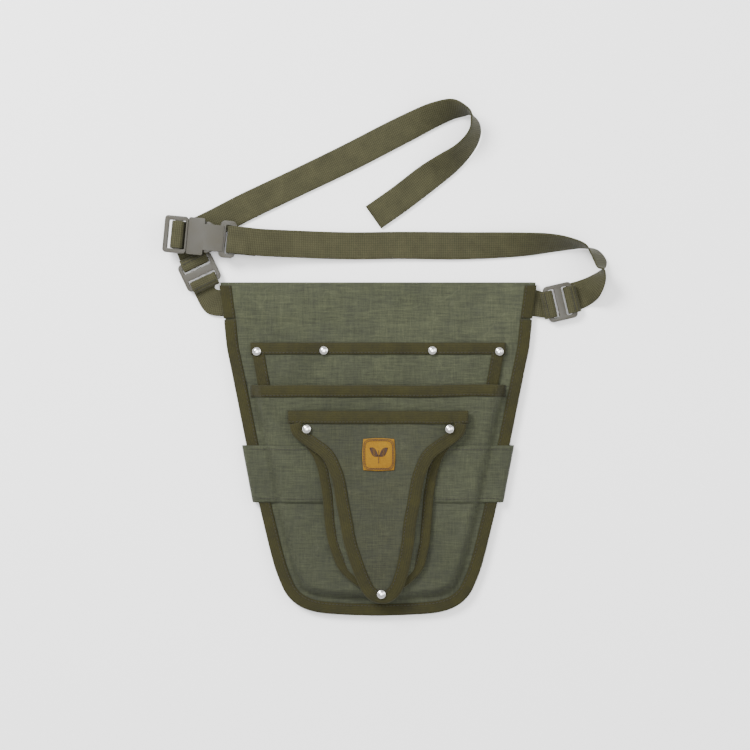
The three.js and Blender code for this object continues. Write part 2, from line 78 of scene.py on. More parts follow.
# ---------- Shader helpers ----------

DEPTH, SATURATION = 0.225, 1.45


def linear(r, g, b):
    """Shader colour for a surface that should look like this sRGB colour in the studio light."""
    raw = [(c / 255 / 12.92 if c <= 10 else ((c / 255 + 0.055) / 1.055) ** 2.4) * DEPTH for c in (r, g, b)]
    grey = sum(raw) / 3
    return tuple(max(0.002, grey + (c - grey) * SATURATION) for c in raw) + (1,)


class Nodes:
    """A thin wrapper that makes and joins shader nodes."""

    def __init__(self, name):
        self.mat = bpy.data.materials.new(name)
        self.mat.use_nodes = True
        self.tree = self.mat.node_tree
        self.bsdf = self.tree.nodes["Principled BSDF"]

    def new(self, kind, **settings):
        node = self.tree.nodes.new(kind)
        for key, value in settings.items():
            setattr(node, key, value)
        return node

    def link(self, a, b):
        self.tree.links.new(a, b)

    def noise(self, vector, scale, detail=4, rough=0.6):
        node = self.new("ShaderNodeTexNoise")
        node.inputs["Scale"].default_value = scale
        node.inputs["Detail"].default_value = detail
        node.inputs["Roughness"].default_value = rough
        self.link(vector, node.inputs["Vector"])
        return node.outputs["Fac"]

    def wave(self, vector, scale, direction, distortion=0.0):
        node = self.new("ShaderNodeTexWave", bands_direction=direction)
        node.inputs["Scale"].default_value = scale
        node.inputs["Distortion"].default_value = distortion
        node.inputs["Detail"].default_value = 0
        self.link(vector, node.inputs["Vector"])
        return node.outputs["Fac"]

    def ramp(self, value, stops):
        node = self.new("ShaderNodeValToRGB")
        elements = node.color_ramp.elements
        while len(elements) < len(stops):
            elements.new(0.5)
        for element, (place, colour) in zip(elements, stops):
            element.position = place
            element.color = colour
        self.link(value, node.inputs["Fac"])
        return node.outputs["Color"]

    def maths(self, operation, a, b):
        node = self.new("ShaderNodeMath", operation=operation)
        for socket, value in zip(node.inputs, (a, b)):
            if isinstance(value, (int, float)):
                socket.default_value = value
            else:
                self.link(value, socket)
        return node.outputs[0]

    def mix(self, factor, a, b, blend="MIX"):
        node = self.new("ShaderNodeMix", data_type="RGBA", blend_type=blend)
        for socket, value in ((node.inputs[0], factor), (node.inputs[6], a), (node.inputs[7], b)):
            if isinstance(value, (int, float, tuple)):
                socket.default_value = value
            else:
                self.link(value, socket)
        return node.outputs[2]

    def bump(self, height, strength, distance):
        node = self.new("ShaderNodeBump")
        node.inputs["Strength"].default_value = strength
        node.inputs["Distance"].default_value = distance
        self.link(height, node.inputs["Height"])
        self.link(node.outputs["Normal"], self.bsdf.inputs["Normal"])

    def object_coords(self):
        return self.new("ShaderNodeTexCoord").outputs["Object"]

    def strip_coords(self):
        return self.new("ShaderNodeAttribute", attribute_name="st").outputs["Vector"]


def canvas_material(name, dark, mid, light):
    n = Nodes(name)
    place = n.object_coords()
    broad = n.noise(place, 14, 5)
    cloudy = n.noise(place, 55, 8, 0.7)
    fine = n.noise(place, 900, 3, 0.8)
    tone = n.maths("ADD", n.maths("MULTIPLY", broad, 0.45), n.maths("MULTIPLY", cloudy, 0.55))
    base = n.ramp(tone, [(0.33, dark), (0.5, mid), (0.68, light)])
    scuff = n.ramp(n.noise(place, 130, 9, 0.75), [(0.55, (0, 0, 0, 1)), (0.72, (1, 1, 1, 1))])
    pale = tuple(min(1, c * 1.45) for c in light[:3]) + (1,)
    base = n.mix(n.maths("MULTIPLY", scuff, 0.32), base, pale)
    stretch = n.new("ShaderNodeMapping")
    stretch.inputs["Scale"].default_value = (0.25, 3.2, 1)
    n.link(place, stretch.inputs["Vector"])
    slub = n.noise(stretch.outputs["Vector"], 260, 4, 0.7)
    stretch = n.new("ShaderNodeMapping")
    stretch.inputs["Scale"].default_value = (3.2, 0.25, 1)
    n.link(place, stretch.inputs["Vector"])
    warp = n.noise(stretch.outputs["Vector"], 260, 4, 0.7)
    threads = n.maths("ADD", n.maths("MULTIPLY", slub, 0.6), n.maths("MULTIPLY", warp, 0.4))
    yarn = n.ramp(threads, [(0.36, (0.5, 0.5, 0.5, 1)), (0.64, (1.55, 1.55, 1.55, 1))])
    base = n.mix(0.85, base, yarn, "MULTIPLY")
    crease = n.maths("ABSOLUTE", n.maths("SUBTRACT", n.noise(place, 17, 3, 0.6), 0.5), 0)
    crease = n.ramp(crease, [(0.0, (1, 1, 1, 1)), (0.011, (0, 0, 0, 1))])
    where = n.ramp(n.noise(place, 24, 2), [(0.5, (0, 0, 0, 1)), (0.62, (1, 1, 1, 1))])
    crease = n.maths("MULTIPLY", crease, n.maths("MULTIPLY", where, 0.4))
    base = n.mix(crease, base, pale)
    speck = n.ramp(fine, [(0.3, (0.78, 0.78, 0.78, 1)), (0.7, (1.16, 1.16, 1.16, 1))])
    # Painted shade: the canvas colour is darkened towards the bag's bottom edge (lower Y), standing in for
    # light falling from the top.
    height_up = n.new("ShaderNodeSeparateXYZ")
    n.link(place, height_up.inputs[0])
    painted_shade_level = n.maths("ADD", n.maths("MULTIPLY", height_up.outputs["Y"], 3.2), 0.95)
    wear_and_painted_shade = n.ramp(painted_shade_level, [(0.0, (0.76, 0.76, 0.78, 1)), (1.0, (1.06, 1.06, 1.06, 1))])
    base = n.mix(1.0, base, wear_and_painted_shade, "MULTIPLY")
    n.link(n.mix(0.8, base, speck, "MULTIPLY"), n.bsdf.inputs["Base Color"])
    n.link(n.ramp(cloudy, [(0.3, (0.62,) * 3 + (1,)), (0.7, (0.85,) * 3 + (1,))]), n.bsdf.inputs["Roughness"])
    weave = n.maths("ADD", n.wave(place, 330, "X", 0.6), n.wave(place, 330, "Y", 0.6))
    height = n.maths("ADD", n.maths("MULTIPLY", weave, 0.35), n.maths("MULTIPLY", fine, 0.5))
    height = n.maths("ADD", height, n.maths("MULTIPLY", threads, 1.1))
    height = n.maths("ADD", height, n.maths("MULTIPLY", cloudy, 0.9))
    n.bump(height, 0.55, 0.0006)
    n.bsdf.inputs["Sheen Weight"].default_value = 0.04
    n.bsdf.inputs["Specular IOR Level"].default_value = 0.28
    return n.mat


def tape_material(name, dark, light, pitch, across):
    """Woven tape: ribs over the run, finer threads along it, from the strip's own coordinates."""
    n = Nodes(name)
    st = n.strip_coords()
    place = n.object_coords()
    ribs = n.wave(st, math.pi * 2 / (pitch * 20), "X", 0.4)
    threads = n.wave(st, math.pi * 2 / (across * 20), "Y", 0.2)
    weave = n.maths("ADD", n.maths("MULTIPLY", ribs, 0.65), n.maths("MULTIPLY", threads, 0.35))
    wear_and_painted_shade = n.noise(place, 70, 7, 0.7)
    tone = n.maths("ADD", n.maths("MULTIPLY", weave, 0.4), n.maths("MULTIPLY", wear_and_painted_shade, 0.6))
    base = n.ramp(tone, [(0.25, dark), (0.75, light)])
    fuzz = n.ramp(n.noise(place, 1100, 2), [(0.3, (0.8,) * 3 + (1,)), (0.7, (1.2,) * 3 + (1,))])
    n.link(n.mix(0.7, base, fuzz, "MULTIPLY"), n.bsdf.inputs["Base Color"])
    n.bsdf.inputs["Roughness"].default_value = 0.78
    n.bsdf.inputs["Sheen Weight"].default_value = 0.03
    n.bsdf.inputs["Specular IOR Level"].default_value = 0.22
    n.bump(weave, 0.7, 0.0005)
    return n.mat


def plastic_material():
    n = Nodes("moulded_plastic")
    place = n.object_coords()
    grain = n.noise(place, 1500, 3)
    flow = n.noise(place, 60, 4)
    n.link(n.ramp(flow, [(0.3, linear(62, 57, 36)), (0.7, linear(78, 72, 50))]), n.bsdf.inputs["Base Color"])
    n.link(n.ramp(flow, [(0.3, (0.4,) * 3 + (1,)), (0.7, (0.52,) * 3 + (1,))]), n.bsdf.inputs["Roughness"])
    n.bump(grain, 0.18, 0.0002)
    return n.mat


def metal_material():
    n = Nodes("nickel")
    place = n.object_coords()
    scratch = n.noise(place, 900, 5)
    tone = n.ramp(scratch, [(0.35, (0.62, 0.61, 0.59, 1)), (0.65, (0.8, 0.79, 0.77, 1))])
    n.link(tone, n.bsdf.inputs["Base Color"])
    n.bsdf.inputs["Metallic"].default_value = 1
    polish = n.ramp(scratch, [(0.3, (0.14,) * 3 + (1,)), (0.7, (0.24,) * 3 + (1,))])
    n.link(polish, n.bsdf.inputs["Roughness"])
    n.bump(scratch, 0.05, 0.0001)
    return n.mat


def thread_material(name, colour):
    n = Nodes(name)
    place = n.object_coords()
    twist = n.noise(place, 1600, 2)
    lighter = tuple(min(1, c * 1.5) for c in colour[:3]) + (1,)
    n.link(n.ramp(twist, [(0.3, colour), (0.7, lighter)]), n.bsdf.inputs["Base Color"])
    n.bsdf.inputs["Roughness"].default_value = 0.7
    n.bump(twist, 0.3, 0.0002)
    return n.mat


CANVAS = canvas_material("canvas", linear(80, 84, 64), linear(96, 100, 79), linear(112, 116, 94))
# Painted shade: a darker copy of the canvas, standing in for the shade on the lower panels.
CANVAS_PAINTED_SHADE = canvas_material("canvas_shaded", linear(72, 75, 57), linear(87, 90, 70), linear(102, 104, 83))
TAPE = tape_material("binding_tape", linear(50, 49, 24), linear(90, 87, 50), 0.0011, 0.0016)
WEBBING = tape_material("webbing_weave", linear(72, 71, 50), linear(118, 116, 90), 0.0017, 0.0021)
PATCH = tape_material("patch_weave", linear(190, 140, 30), linear(235, 190, 60), 0.0009, 0.0009)
PLASTIC = plastic_material()
NICKEL = metal_material()
THREAD = thread_material("thread_olive", linear(46, 43, 28))
THREAD_BROWN = thread_material("thread_brown", linear(84, 56, 30))


# ---------- Mesh helpers (millimetres in, metres out) ----------

def finish_piece(obj, material, body, nodes=()):
    obj.data.materials.append(material)
    for poly in obj.data.polygons:
        poly.use_smooth = True
    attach(obj, body)
    if nodes:
        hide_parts(*nodes)
    return obj


def mesh_object(name, points, faces, st=None):
    mesh = bpy.data.meshes.new(name)
    mesh.from_pydata([tuple(float(c) * MM for c in p) for p in points], [], faces)
    if st is not None:
        layer = mesh.attributes.new("st", "FLOAT_VECTOR", "POINT")
        layer.data.foreach_set("vector", (np.asarray(st, float) * MM).ravel())
    mesh.validate()
    obj = bpy.data.objects.new(name, mesh)
    bpy.context.scene.collection.objects.link(obj)
    return obj


def grid_normals(p, closed=False):
    du = np.gradient(p, axis=0)
    if closed:
        du = (np.roll(p, -1, 0) - np.roll(p, 1, 0)) / 2
    n = np.cross(du, np.gradient(p, axis=1))
    return n / np.maximum(np.linalg.norm(n, axis=2, keepdims=True), 1e-9)


def surface(name, grid, thickness, closed=False):
    """A sheet of even thickness, with softened edges, round the middle surface grid[u][v]."""
    p = np.asarray(grid, float)
    nu, nv = p.shape[:2]
    half_t = np.full((nu, nv, 1), thickness / 2)
    half_t[:, [0, -1]] *= 0.55
    if not closed:
        half_t[[0, -1]] *= 0.55
    n = grid_normals(p, closed)
    top, bottom = p + n * half_t, p - n * half_t
    run = np.concatenate([[0], np.cumsum(np.linalg.norm(np.diff(p[:, nv // 2], axis=0), axis=1))])
    wide = np.concatenate([[0], np.cumsum(np.linalg.norm(np.diff(p[nu // 2], axis=0), axis=1))])
    st = np.zeros((nu, nv, 3))
    st[..., 0] = run[:, None]
    st[..., 1] = wide[None, :]
    points = np.concatenate([top.reshape(-1, 3), bottom.reshape(-1, 3)])
    faces = []
    size = nu * nv
    for i in range(nu if closed else nu - 1):
        j = (i + 1) % nu
        for k in range(nv - 1):
            a, b, c, d = i * nv + k, j * nv + k, j * nv + k + 1, i * nv + k + 1
            faces.append((a, b, c, d))
            faces.append((d + size, c + size, b + size, a + size))
        for k, turn in ((0, 1), (nv - 1, -1)):
            q = (i * nv + k, i * nv + k + size, j * nv + k + size, j * nv + k)
            faces.append(q[::turn])
    if not closed:
        for i, turn in ((0, -1), (nu - 1, 1)):
            for k in range(nv - 1):
                q = (i * nv + k, i * nv + k + size, i * nv + k + 1 + size, i * nv + k + 1)
                faces.append(q[::turn])
    return mesh_object(name, points, faces, np.concatenate([st.reshape(-1, 3)] * 2))


def resample(path, step):
    p = np.asarray(path, float)
    s = np.concatenate([[0], np.cumsum(np.linalg.norm(np.diff(p, axis=0), axis=1))])
    count = max(2, int(round(s[-1] / step)) + 1)
    t = np.linspace(0, s[-1], count)
    return np.stack([np.interp(t, s, p[:, k]) for k in range(p.shape[1])], 1)


def stitches(name, runs, body, material=None, pitch=3.3, length=2.4, radius=0.33):
    """One mesh of separate sewn stitches along each run of points."""
    rings = ((-0.5, 0.35), (-0.3, 1.0), (0.3, 1.0), (0.5, 0.35))
    sides = 6
    points, faces = [], []
    for run in runs:
        path = resample(run, pitch)
        for a, b in zip(path[:-1], path[1:]):
            along_dir = (b - a) / max(np.linalg.norm(b - a), 1e-9)
            side = np.cross(along_dir, (0, 0, 1.0))
            norm = np.linalg.norm(side)
            side = side / norm if norm > 1e-6 else np.array((1.0, 0, 0))
            up = np.cross(side, along_dir)
            middle = (a + b) / 2
            base = len(points)
            for t, r in rings:
                for k in range(sides):
                    w = 2 * math.pi * k / sides
                    spoke = (side * math.cos(w) + up * math.sin(w)) * radius * r
                    points.append(middle + along_dir * t * length + spoke)
            for i in range(3):
                for k in range(sides):
                    m = (k + 1) % sides
                    faces.append((base + i * sides + k, base + i * sides + m, base + (i + 1) * sides + m,
                                  base + (i + 1) * sides + k))
            faces.append(tuple(base + k for k in reversed(range(sides))))
            faces.append(tuple(base + 3 * sides + k for k in range(sides)))
    obj = mesh_object(name, points, faces)
    return finish_piece(obj, material or THREAD, body)


def smooth_step(t):
    t = min(1.0, max(0.0, t))
    return t * t * (3 - 2 * t)


def along(table, y):
    ys = [-row[0] for row in table]
    return float(np.interp(-y, ys, [row[1] for row in table]))


def ripple(x, y, scale, amount, seed=0.0):
    return amount * noise.noise(Vector((x / scale, y / scale, seed)))


# ---------- The bag's outline and layer heights, as in the solid model ----------

OUTLINE = [
    (18.4, 146.7), (17.5, 146.7), (-16.6, 142.1), (-44.2, 139.4), (-53.4, 137.1), (-71.8, 133.4),
    (-90.2, 129.7), (-127, 122.4), (-191.4, 108.6), (-228.2, 99.8), (-246.6, 94.8), (-255.8, 91.1),
    (-265, 87.4), (-270, 84.6), (-274.2, 81), (-278, 76.6), (-281, 72), (-283.4, 66.7), (-285.4, 60),
    (-287, 51.5), (-288.4, 30), (-289.3, 0),
]


def half(y):
    return along(OUTLINE, y)


SIDE = np.array([(h, y) for y, h in OUTLINE[2:]], float)


def inset(x, y):
    p = np.array((abs(x), y))
    a, b = SIDE[:-1], SIDE[1:]
    d = b - a
    t = np.clip(((p - a) * d).sum(1) / (d * d).sum(1), 0, 1)
    best = np.linalg.norm(p - a - d * t[:, None], axis=1).min()
    return -best if abs(x) > half(y) else best


def mouth_rise(y):
    return 8 + 4 * smooth_step((y + 125) / 48)


def main_under(x, y):
    return EDGE_Z + mouth_rise(y) * smooth_step((inset(x, y) - 14) / 10)


SEAMS = (-111, -50, 50, 111)


def upper_under(x, y):
    bulge = 0
    for a, b in zip(SEAMS[:-1], SEAMS[1:]):
        if a < x < b:
            bulge = math.sin(math.pi * (x - a) / (b - a)) ** 2
    return UPPER_Z + 6 * bulge * smooth_step((y + 120) / 82)


def lean(y):
    return 3.5 * smooth_step((-200 - y) / 70)


def front_under(x, y):
    across_x = smooth_step((70 - abs(x - lean(y))) / 26)
    k = smooth_step((y + 156) / 30)
    wing = 1 + (across_x - 1) * k if y > -156 else 1
    return WING_Z + (FRONT_Z - WING_Z) * wing * smooth_step((y + 268) / 44)


BODY_TOP = BODY_Z + CLOTH
BACK_HALF = [(-101, 80), (-120, 79), (-131, 68), (-140, 60), (-154, 55), (-176, 51), (-203, 49),
             (-220, 47), (-246, 39.5), (-259, 26), (-264, 18)]
FRONT_HALF = [(-99.8, 82.6), (-121, 80), (-126, 75), (-131.6, 67), (-143, 50), (-162, 42), (-184, 38.5),
              (-203, 34.6), (-220, 32.5), (-246, 26), (-265, 19), (-272, 13.5), (-276.4, 6)]
UPPER_HALF = [(-38.4, 116.4), (-75, 110), (-100, 104), (-160, 91)]


def outline_path(step):
    """The bag's side and bottom edge from right to left: x, y and the inward direction."""
    right = [(h, y) for y, h in OUTLINE[2:]]
    path = resample(right + [(-x, y) for x, y in right[:-1]][::-1], step)
    for _ in range(6):
        path[1:-1] = (path[:-2] + 2 * path[1:-1] + path[2:]) / 4
    d = np.gradient(path, axis=0)
    d /= np.linalg.norm(d, axis=1, keepdims=True)
    n = np.stack([d[:, 1], -d[:, 0]], 1)
    centre = np.array((0.0, -120.0))
    n *= np.sign(((centre - path) * n).sum(1))[:, None]
    return np.concatenate([path, n], 1)


# ---------- Canvas panels ----------

def panel(name, ys, half_at, under, columns, wrinkle, seed, centre=lambda y: 0.0):
    grid = []
    for y in ys:
        row = []
        for k in range(columns + 1):
            x = centre(y) + half_at(y) * (2 * k / columns - 1)
            z = under(x, y) + CLOTH / 2
            z += ripple(x, y, 38, wrinkle, seed) + ripple(x, y, 13, wrinkle * 0.3, seed + 5)
            row.append((x, y, z))
        grid.append(row)
    return surface(name, grid, CLOTH)


def body_panel():
    r = BODY_TOP / 2
    fold = TUNNEL_TOP - r
    profile = [(TUNNEL_END, CLOTH / 2)] + [(y, CLOTH / 2) for y in np.linspace(TUNNEL_END + 3, fold, 9)]
    for k in range(1, 12):
        t = math.pi * k / 12 - math.pi / 2
        profile.append((fold + math.cos(t) * (r - CLOTH / 2), r + math.sin(t) * (r - CLOTH / 2)))
    profile += [(y, BODY_Z + CLOTH / 2) for y in np.linspace(fold, -287.5, 120)]
    grid = []
    for y, z in profile:
        row = []
        for k in range(81):
            h = half(min(y, 18)) - 1.3
            x = h * (k / 40 - 1)
            lift = 0
            if z > r and y < fold:
                quiet = smooth_step((half(y) - abs(x)) / 12) * smooth_step((fold - y) / 12)
                lift = quiet * (0.35 + ripple(x, y, 30, 0.5, 2.0) + ripple(x, y * 2.5, 9, 0.16, 7.0))
                lift = min(lift, 0.9)
                lift -= 0.5 * quiet * math.exp(-((y + 18.5) / 1.6) ** 2)
            row.append((x, y, z + max(lift, -0.5)))
        grid.append(row)
    obj = surface("bag_body", grid, CLOTH)
    finish_piece(obj, CANVAS, "bag", ["body_panel"])


def upper_pocket():
    ys = np.linspace(-38.2, -160, 62)
    obj = panel("upper_pocket", ys, lambda y: along(UPPER_HALF, y), upper_under, 96, 0.45, 11.0)
    finish_piece(obj, CANVAS, "bag", ["upper_pocket_panel"])


def main_pocket():
    ys = np.concatenate([np.linspace(-77.3, -250, 90), np.linspace(-251, -287.4, 36)])
    obj = panel("main_pocket", ys, lambda y: half(y) - 1.3 - (4 if y < -284 else 0) * (-284 - y) / 3.4,
                main_under, 110, 0.55, 21.0)
    finish_piece(obj, CANVAS, "bag", ["main_pocket_panel"])


def wrap_band():
    def reach(y):
        return BAND_REACH_TOP + (BAND_REACH_END - BAND_REACH_TOP) * (BAND_TOP - y) / (BAND_TOP - BAND_END)

    ys = np.linspace(BAND_TOP, BAND_END, 27)
    floor_level = EDGE_Z + CLOTH + 2 * GAP + BIND
    turn = (floor_level - CLOTH) / 2
    grid = []
    for k in range(91):
        row = []
        for y in ys:
            x = (half(y) - 0.5) * (k / 45 - 1)
            z = max(main_under(x, y) + CLOTH + GAP, floor_level) + CLOTH / 2
            z += 0.4 * ripple(x, y, 26, 1.0, 33.0) * smooth_step((half(y) - abs(x)) / 20)
            row.append((x, y, z))
        grid.append(row)
    for s, order in ((1, range(1, 12)), (-1, range(11, 0, -1))):
        for k in order:
            a = math.pi * k / 12
            z = turn + CLOTH + (turn + CLOTH / 2) * math.cos(a)
            grid.append([(s * (reach(y) - BAND_FLAT + BAND_BULGE * math.sin(a)), y, z) for y in ys])
        if s == 1:
            for k in range(13):
                grid.append([((reach(y) - BAND_FLAT) * (1 - k / 6), y, CLOTH / 2) for y in ys])
    obj = surface("wrap_band", grid, CLOTH, closed=True)
    finish_piece(obj, CANVAS, "bag", ["wrap_band"])
    runs = []
    for edge, s in ((BAND_TOP, -1), (BAND_END, 1)):
        y = edge + 3.6 * s
        xs = np.linspace(-reach(y) + 5, reach(y) - 5, 120)
        runs.append([(x, y, max(main_under(x, y) + CLOTH + GAP, floor_level) + CLOTH + 0.15
                      + 0.4 * ripple(x, y, 26, 1.0, 33.0) * smooth_step((half(y) - abs(x)) / 20))
                     for x in xs])
    stitches("band_stitches", runs, "bag")


# ---------- Bindings ----------

def binding(name, path, width, under, over, node, seed, pad=0.35):
    """Tape folded over an edge. path rows are x, y and the inward direction."""
    grid, run = [], []
    for x, y, ix, iy in path:
        def at(s):
            return x + ix * s, y + iy * s

        reach = width
        while reach > 3 and (x - 3.4) * (at(reach)[0] - 3.4) < 0 and y < -230:
            reach -= 0.5
        top, bottom = [], []
        for s in np.linspace(reach, 1.4, 9):
            px, py = at(s)
            puff = pad * math.sin(math.pi * min(1, s / reach)) + ripple(px, py, 6, 0.10, seed)
            top.append((px, py, over(px, py) + GAP + BIND / 2 + puff))
            bottom.append((px, py, under(px, py) - GAP - BIND / 2))
        zt, zb = top[-1][2], bottom[-1][2]
        mid, r = (zt + zb) / 2, (zt - zb) / 2
        bend = []
        for k in range(1, 8):
            t = math.pi / 2 - math.pi * k / 8
            bend.append((*at(1.4 - math.cos(t) * 1.0), mid + math.sin(t) * r))
        grid.append(top + bend + bottom[::-1])
        px, py = at(reach - 1.7)
        run.append((px, py, over(px, py) + GAP + BIND + 0.12 + pad * 0.4))
    obj = surface(name, grid, BIND)
    finish_piece(obj, TAPE, "bag", [node] if isinstance(node, str) else node)
    stitches(name + "_stitches", [run], "bag")


def straight(points, direction):
    return [(x, y, *direction) for x, y in points]


def side_path(table, ys, s, centre=lambda y: 0.0, out=0.0):
    pts = np.array([(centre(y) + s * (along(table, y) + out), y) for y in ys])
    return with_inward(relaxed(pts, 8), s)


def relaxed(pts, rounds):
    for _ in range(rounds):
        pts[1:-1] = (pts[:-2] + 2 * pts[1:-1] + pts[2:]) / 4
    return pts


def with_inward(pts, s):
    d = np.gradient(pts, axis=0)
    d /= np.linalg.norm(d, axis=1, keepdims=True)
    n = np.stack([d[:, 1], -d[:, 0]], 1)
    n *= np.where(n[:, 0] * s > 0, -1, 1)[:, None]
    return np.concatenate([pts, n], 1)


def bindings():
    def outer_over(x, y):
        return BODY_TOP + (EDGE_Z + CLOTH - BODY_TOP) * smooth_step((-66 - y) / 7)

    binding("outer_edge_tape", outline_path(3.0), BIND_W, lambda x, y: BODY_Z, outer_over,
            "outer_binding", 3)
    for side, s in (("left", -1), ("right", 1)):
        ys = np.linspace(TUNNEL_TOP - 3.0, TUNNEL_END + 2.0, 14)
        path = straight([(s * half(y), y) for y in ys], (-s, 0))
        binding("tunnel_tape_" + side, path, BIND_W, lambda x, y: BODY_Z, lambda x, y: BODY_TOP,
                "tunnel_binding_" + side, 5)
        path = side_path(UPPER_HALF, np.linspace(-48.4, -98, 20), s, out=1.1)
        binding("upper_pocket_tape_" + side, path, BIND_W, lambda x, y: UPPER_Z,
                lambda x, y: upper_under(x, y) + CLOTH, "upper_pocket_binding_" + side, 8)
    xs = np.linspace(117.5, -117.5, 96)
    binding("upper_pocket_top_tape", straight([(x, -37.3) for x in xs], (0, -1)), BIND_W, upper_under,
            lambda x, y: upper_under(x, y) + CLOTH, "upper_pocket_top_binding", 9)
    reach = half(-82) - 14
    xs = np.linspace(reach, -reach, 90)
    wavy = [(x, -76.4 + ripple(x, 0, 60, 1.2, 4.0)) for x in xs]
    binding("main_pocket_top_tape", straight(wavy, (0, -1)), BIND_W, main_under,
            lambda x, y: main_under(x, y) + CLOTH, "main_pocket_top_binding", 12)


# ---------- Holster ----------

def holster():
    ys = np.linspace(-101, -262, 60)
    # The holster panels take the darker canvas copy with painted shade.
    back = panel("holster_back", ys, lambda y: along(BACK_HALF, y) - 2.3, lambda x, y: BACK_Z,
                 30, 0.1, 41.0, lean)
    finish_piece(back, CANVAS_PAINTED_SHADE, "bag", ["holster_back_panel"])
    ys = np.linspace(-100.8, -274.5, 84)
    front = panel("holster_front", ys, lambda y: along(FRONT_HALF, y) - 2.0, front_under,
                  64, 0.45, 51.0, lean)
    finish_piece(front, CANVAS_PAINTED_SHADE, "bag", ["holster_front_panel"])

    def over(x, y):
        return front_under(x, y) + CLOTH

    for side, s in (("left", -1), ("right", 1)):
        path = side_path(BACK_HALF, np.linspace(-132, -263.5, 56), s, lean)
        binding("holster_rear_tape_" + side, path, 9.5, lambda x, y: BACK_Z, lambda x, y: BACK_Z + CLOTH,
                "holster_rear_binding_" + side, 14)
        wall = []
        for y in np.linspace(-142, -254, 50):
            low = lean(y) + s * (along(BACK_HALF, y) - 9.4)
            high = lean(y) + s * (along(FRONT_HALF, y) - 3)
            z0, z1 = BACK_Z + CLOTH + 1.4, front_under(high, y) - 1.3
            row = []
            for k in range(9):
                t = k / 8
                fold = -1.4 * s * math.sin(math.pi * t)
                row.append((low + (high - low) * t + fold, y, z0 + (z1 - z0) * t))
            wall.append(row)
        obj = surface("holster_side_" + side, wall, 0.7)
        finish_piece(obj, CANVAS, "bag", ["holster_gusset_" + side])
    left = [(lean(y) - along(FRONT_HALF, y), y) for y in np.linspace(-112.2, -275.5, 90)]
    right = [(lean(y) + along(FRONT_HALF, y), y) for y in np.linspace(-275.5, -112.2, 90)]
    tip = [(4.3 + 7 * math.sin(a), -275.2 - 1.9 * math.cos(a)) for a in np.linspace(-1.2, 1.2, 7)]
    edge = relaxed(resample(left + tip + right, 1.8), 12)
    d = np.gradient(edge, axis=0)
    d /= np.linalg.norm(d, axis=1, keepdims=True)
    edge = np.concatenate([edge, np.stack([-d[:, 1], d[:, 0]], 1)], 1)
    binding("holster_front_tape", edge, BIND_W + 0.6, front_under, over,
            ["holster_front_binding_left", "holster_front_binding_right"], 15)
    xs = np.linspace(82.6, -82.6, 72)
    top = [(x, -99.8 + ripple(x, 3, 40, 0.8, 6.0)) for x in xs]
    binding("holster_top_tape", straight(top, (0, -1)), BIND_W + 1, front_under, over,
            "holster_top_binding", 16)


# ---------- Rivets and patch ----------

RIVETS = [("rivet_pocket_%d" % (i + 1), x, y) for i, (x, y) in
          enumerate(((-111.6, -45.5), (-50, -44.7), (50, -44.7), (111.6, -45.5)))]
RIVETS += [("rivet_holster_left", -65.2, -116.5), ("rivet_holster_right", 65.2, -116.5),
           ("rivet_holster_tip", 3, -267.5)]


def rivets():
    profile = ((3.5, -0.35), (4.0, 0.0), (4.1, 0.45), (3.95, 0.85), (3.55, 1.2), (3.3, 1.3), (3.0, 1.55),
               (2.4, 1.95), (1.6, 2.2), (0.8, 2.33), (0.25, 2.36))
    sides = 40
    for node, x, y in RIVETS:
        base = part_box(node)[0].z / MM
        points, faces = [], []
        for r, h in profile:
            for k in range(sides):
                a = 2 * math.pi * k / sides
                points.append((x + r * math.cos(a), y + r * math.sin(a), base + h))
        for i in range(len(profile) - 1):
            for k in range(sides):
                m = (k + 1) % sides
                faces.append((i * sides + k, i * sides + m, (i + 1) * sides + m, (i + 1) * sides + k))
        faces.append(tuple(reversed(range(sides))))
        faces.append(tuple((len(profile) - 1) * sides + k for k in range(sides)))
        finish_piece(mesh_object(node + "_cap", points, faces), NICKEL, "bag", [node])


def patch():
    """Small woven patch with a sewn border and a plain sprig of two leaves."""
    cx, cy = 0.6, -139.8
    z = FRONT_Z + CLOTH + GAP + 0.55
    grid = []
    for u in np.linspace(-1, 1, 33):
        row = []
        for v in np.linspace(-1, 1, 33):
            q = 0.93 + 0.07 * min(1, 2.2 - abs(u) - abs(v)) if abs(u) + abs(v) > 1.2 else 1
            k = 15 * q
            row.append((cx + u * k, cy + v * k, z + 0.25 * (1 - max(abs(u), abs(v)) ** 4)))
        grid.append(row)
    finish_piece(surface("patch", grid, 0.9), PATCH, "bag", ["maker_patch"])
    ring = []
    for k in range(121):
        a = 2 * math.pi * k / 120
        c, s = math.cos(a), math.sin(a)
        r = 12.6 / (abs(c) ** 6 + abs(s) ** 6) ** (1 / 6)
        ring.append((cx + r * c, cy + r * s, z + 0.62))
    outer = [(cx + (x - cx) * 1.09, cy + (y - cy) * 1.09, h - 0.12) for x, y, h in ring]
    stitches("patch_border", [outer, ring], "bag", THREAD_BROWN, 1.5, 1.4, 0.42)
    runs = [[(cx, cy - 8 + 12 * t, z + 0.75) for t in np.linspace(0, 1, 12)]]
    for s in (-1, 1):
        for w in np.linspace(-1, 1, 7):
            leaf = []
            for t in np.linspace(0, 1, 14):
                belly = 3.0 * math.sin(math.pi * t) * w
                leaf.append((cx + s * (0.6 + 7.6 * t - 0.25 * belly), cy - 1.5 + 7.5 * t + belly, z + 0.72))
            runs.append(leaf)
    stitches("patch_sprig", runs, "bag", THREAD_BROWN, 1.3, 1.5, 0.36)


# ---------- Belt webbing: the routes repeat the solid model's, in millimetres ----------

BUCKLE = (-163.8, 59.8, math.radians(-5.5))
SLIDER_RIGHT = (168.0, 0.0, math.radians(13))
SLIDER_LEFT = (-164.7, 27.6, math.radians(-64.4))


